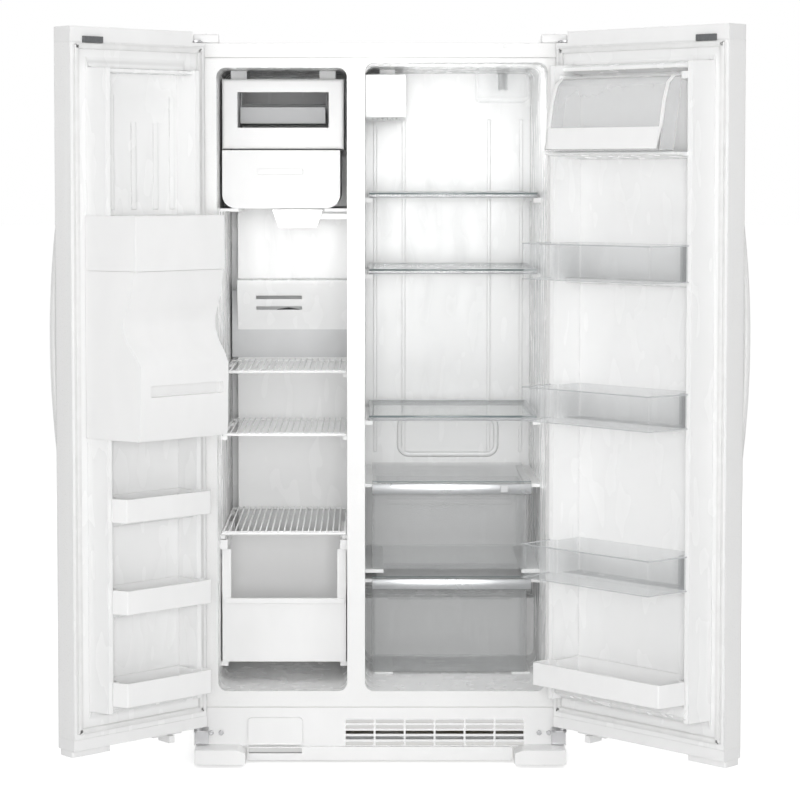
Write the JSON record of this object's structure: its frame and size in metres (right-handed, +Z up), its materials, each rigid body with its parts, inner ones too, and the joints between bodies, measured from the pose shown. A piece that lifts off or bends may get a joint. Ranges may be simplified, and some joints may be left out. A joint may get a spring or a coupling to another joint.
{
  "type": "side by side refrigerator",
  "caption": "Side by side refrigerator standing open: narrow freezer with an ice maker and door dispenser, wide fridge with glass shelves, drawers and door bins, two swinging doors.",
  "frame": {"origin": "on the floor, under the middle of the whole object as it stands with both doors open", "axes": "+Z up; -Y out of the front, towards someone at the fridge; +X to that person's right"},
  "size_m": [1.6313, 1.217, 1.774],
  "materials": {
    "freezer_liner": "gloss",
    "fridge_liner": "gloss",
    "cabinet_shell": "satin",
    "cabinet_foam": "matte",
    "rear_panels": "satin",
    "base_frame": "satin",
    "leveling_legs": "satin",
    "rear_rollers": "matte",
    "base_grille": "satin",
    "water_filter": "satin",
    "filter_cover": "satin",
    "hinges": "satin",
    "hinge_covers": "satin",
    "evaporator_coil": "satin",
    "condenser_coil": "satin",
    "drain_pan": "matte",
    "compressor": "satin",
    "evaporator_fan": "matte",
    "condenser_fan": "matte",
    "fan_motors": "matte",
    "inlet_valve": "satin",
    "evaporator_cover": "gloss",
    "ice_maker_housing": "satin",
    "ice_maker": "matte",
    "ice_bin": "gloss",
    "ice_auger": "satin",
    "wire_shelves": "satin",
    "freezer_basket": "satin",
    "shelf_frames": "satin",
    "glass_shelves": "polished",
    "crisper_covers": "satin",
    "humidity_slider": "satin",
    "upper_crisper": "gloss",
    "lower_crisper": "gloss",
    "control_box": "satin",
    "light_cover": "gloss",
    "interior_rails": "satin",
    "freezer_switch": "satin",
    "fridge_switch": "satin",
    "freezer_door_skin": "satin",
    "freezer_door_foam": "matte",
    "freezer_door_liner": "gloss",
    "freezer_door_caps": "satin",
    "freezer_door_gasket": "matte",
    "freezer_handle": "satin",
    "fridge_door_skin": "satin",
    "fridge_door_foam": "matte",
    "fridge_door_liner": "gloss",
    "fridge_door_caps": "satin",
    "fridge_door_gasket": "matte",
    "fridge_handle": "satin",
    "freezer_bins": "satin",
    "door_bins": "gloss",
    "bottom_bin": "satin",
    "dairy_cover": "gloss",
    "dispenser_housing": "satin",
    "dispenser_panel": "matte",
    "dispenser_paddle": "matte",
    "ice_flap": "matte",
    "selector_slide": "matte"
  },
  "bodies": {
    "cabinet": {"freezer_liner": "freezer_liner", "fridge_liner": "fridge_liner", "cabinet_shell": "cabinet_shell", "cabinet_foam": "cabinet_foam", "rear_panels": "rear_panels", "base_frame": "base_frame", "leveling_legs": "leveling_legs", "base_grille": "base_grille", "water_filter": "water_filter", "hinges": "hinges", "hinge_covers": "hinge_covers", "evaporator_coil": "evaporator_coil", "condenser_coil": "condenser_coil", "drain_pan": "drain_pan", "compressor": "compressor", "fan_motors": "fan_motors", "inlet_valve": "inlet_valve", "evaporator_cover": "evaporator_cover", "ice_maker_housing": "ice_maker_housing", "ice_maker": "ice_maker", "wire_shelves": "wire_shelves", "shelf_frames": "shelf_frames", "glass_shelves": "glass_shelves", "crisper_covers": "crisper_covers", "control_box": "control_box", "light_cover": "light_cover", "interior_rails": "interior_rails"},
    "ice_bin": {"ice_bin": "ice_bin"},
    "ice_auger": {"ice_auger": "ice_auger"},
    "basket": {"freezer_basket": "freezer_basket"},
    "upper_crisper": {"upper_crisper": "upper_crisper"},
    "lower_crisper": {"lower_crisper": "lower_crisper"},
    "humidity_slider": {"humidity_slider": "humidity_slider"},
    "filter_cover": {"filter_cover": "filter_cover"},
    "evaporator_fan": {"evaporator_fan": "evaporator_fan"},
    "condenser_fan": {"condenser_fan": "condenser_fan"},
    "rear_rollers": {"rear_rollers": "rear_rollers"},
    "freezer_switch": {"freezer_switch": "freezer_switch"},
    "fridge_switch": {"fridge_switch": "fridge_switch"},
    "freezer_door": {"freezer_door_skin": "freezer_door_skin", "freezer_door_foam": "freezer_door_foam", "freezer_door_liner": "freezer_door_liner", "freezer_door_caps": "freezer_door_caps", "freezer_door_gasket": "freezer_door_gasket", "freezer_handle": "freezer_handle", "freezer_bins": "freezer_bins", "dispenser_housing": "dispenser_housing", "dispenser_panel": "dispenser_panel"},
    "fridge_door": {"fridge_door_skin": "fridge_door_skin", "fridge_door_foam": "fridge_door_foam", "fridge_door_liner": "fridge_door_liner", "fridge_door_caps": "fridge_door_caps", "fridge_door_gasket": "fridge_door_gasket", "fridge_handle": "fridge_handle", "door_bins": "door_bins", "bottom_bin": "bottom_bin"},
    "dispenser_paddle": {"dispenser_paddle": "dispenser_paddle"},
    "ice_flap": {"ice_flap": "ice_flap"},
    "selector_slide": {"selector_slide": "selector_slide"},
    "dairy_cover": {"dairy_cover": "dairy_cover"}
  },
  "joints": [
    {"name": "freezer_door_swing", "type": "hinge", "parent": "cabinet", "child": "freezer_door", "pos_m": [-0.4808, -0.16, 0.9], "axis": [0, 0, -1], "range_deg": [-137.67, 1]},
    {"name": "fridge_door_swing", "type": "hinge", "parent": "cabinet", "child": "fridge_door", "pos_m": [0.4042, -0.16, 0.9], "axis": [0, 0, 1], "range_deg": [-135.13, 2]},
    {"name": "dairy_cover_lift", "type": "hinge", "parent": "fridge_door", "child": "dairy_cover", "pos_m": [0.52071, -0.39803, 1.657], "axis": [-0.7087, 0.7055, 0], "range_deg": [0, 80]},
    {"name": "paddle_press", "type": "hinge", "parent": "freezer_door", "child": "dispenser_paddle", "pos_m": [-0.63228, -0.2662, 1.248], "axis": [-0.7393, -0.6734, 0], "range_deg": [0, 10], "stiffness_Nm_per_rad": 0.4},
    {"name": "ice_flap_open", "type": "hinge", "parent": "freezer_door", "child": "ice_flap", "pos_m": [-0.60905, -0.2917, 1.313], "axis": [-0.7393, -0.6734, 0], "range_deg": [-50, 0]},
    {"name": "selector_travel", "type": "slide", "parent": "freezer_door", "child": "selector_slide", "axis": [-0.7393, -0.6734, 0], "range_m": [0, 0.06]},
    {"name": "ice_bin_pull", "type": "slide", "parent": "cabinet", "child": "ice_bin", "axis": [0, -1, 0], "range_m": [0, 0.2]},
    {"name": "auger_spin", "type": "hinge", "parent": "ice_bin", "child": "ice_auger", "pos_m": [-0.2813, 0.1285, 1.402], "axis": [0, 1, 0], "continuous": true},
    {"name": "basket_pull", "type": "slide", "parent": "cabinet", "child": "basket", "axis": [0, -1, 0], "range_m": [0, 0.2]},
    {"name": "upper_crisper_pull", "type": "slide", "parent": "cabinet", "child": "upper_crisper", "axis": [0, -1, 0], "range_m": [0, 0.26]},
    {"name": "lower_crisper_pull", "type": "slide", "parent": "cabinet", "child": "lower_crisper", "axis": [0, -1, 0], "range_m": [0, 0.16]},
    {"name": "humidity_travel", "type": "slide", "parent": "cabinet", "child": "humidity_slider", "axis": [1, 0, 0], "range_m": [0, 0.03]},
    {"name": "filter_cover_drop", "type": "hinge", "parent": "cabinet", "child": "filter_cover", "pos_m": [-0.2938, -0.1345, 0.047], "axis": [1, 0, 0], "range_deg": [0, 85]},
    {"name": "evaporator_fan_spin", "type": "hinge", "parent": "cabinet", "child": "evaporator_fan", "pos_m": [-0.27575, 0.4685, 0.98], "axis": [0, 1, 0], "continuous": true},
    {"name": "condenser_fan_spin", "type": "hinge", "parent": "cabinet", "child": "condenser_fan", "pos_m": [-0.1203, 0.4605, 0.15], "axis": [1, 0, 0], "continuous": true},
    {"name": "roller_spin", "type": "hinge", "parent": "cabinet", "child": "rear_rollers", "pos_m": [-0.0383, 0.5085, 0.018], "axis": [1, 0, 0], "continuous": true},
    {"name": "freezer_switch_press", "type": "slide", "parent": "cabinet", "child": "freezer_switch", "axis": [0, 1, 0], "range_m": [0, 0.005], "stiffness_N_per_m": 200},
    {"name": "fridge_switch_press", "type": "slide", "parent": "cabinet", "child": "fridge_switch", "axis": [0, 1, 0], "range_m": [0, 0.005], "stiffness_N_per_m": 200}
  ],
  "couplings": [
    {"joint": "ice_flap_open", "follows": "paddle_press", "ratio": -5}
  ]
}
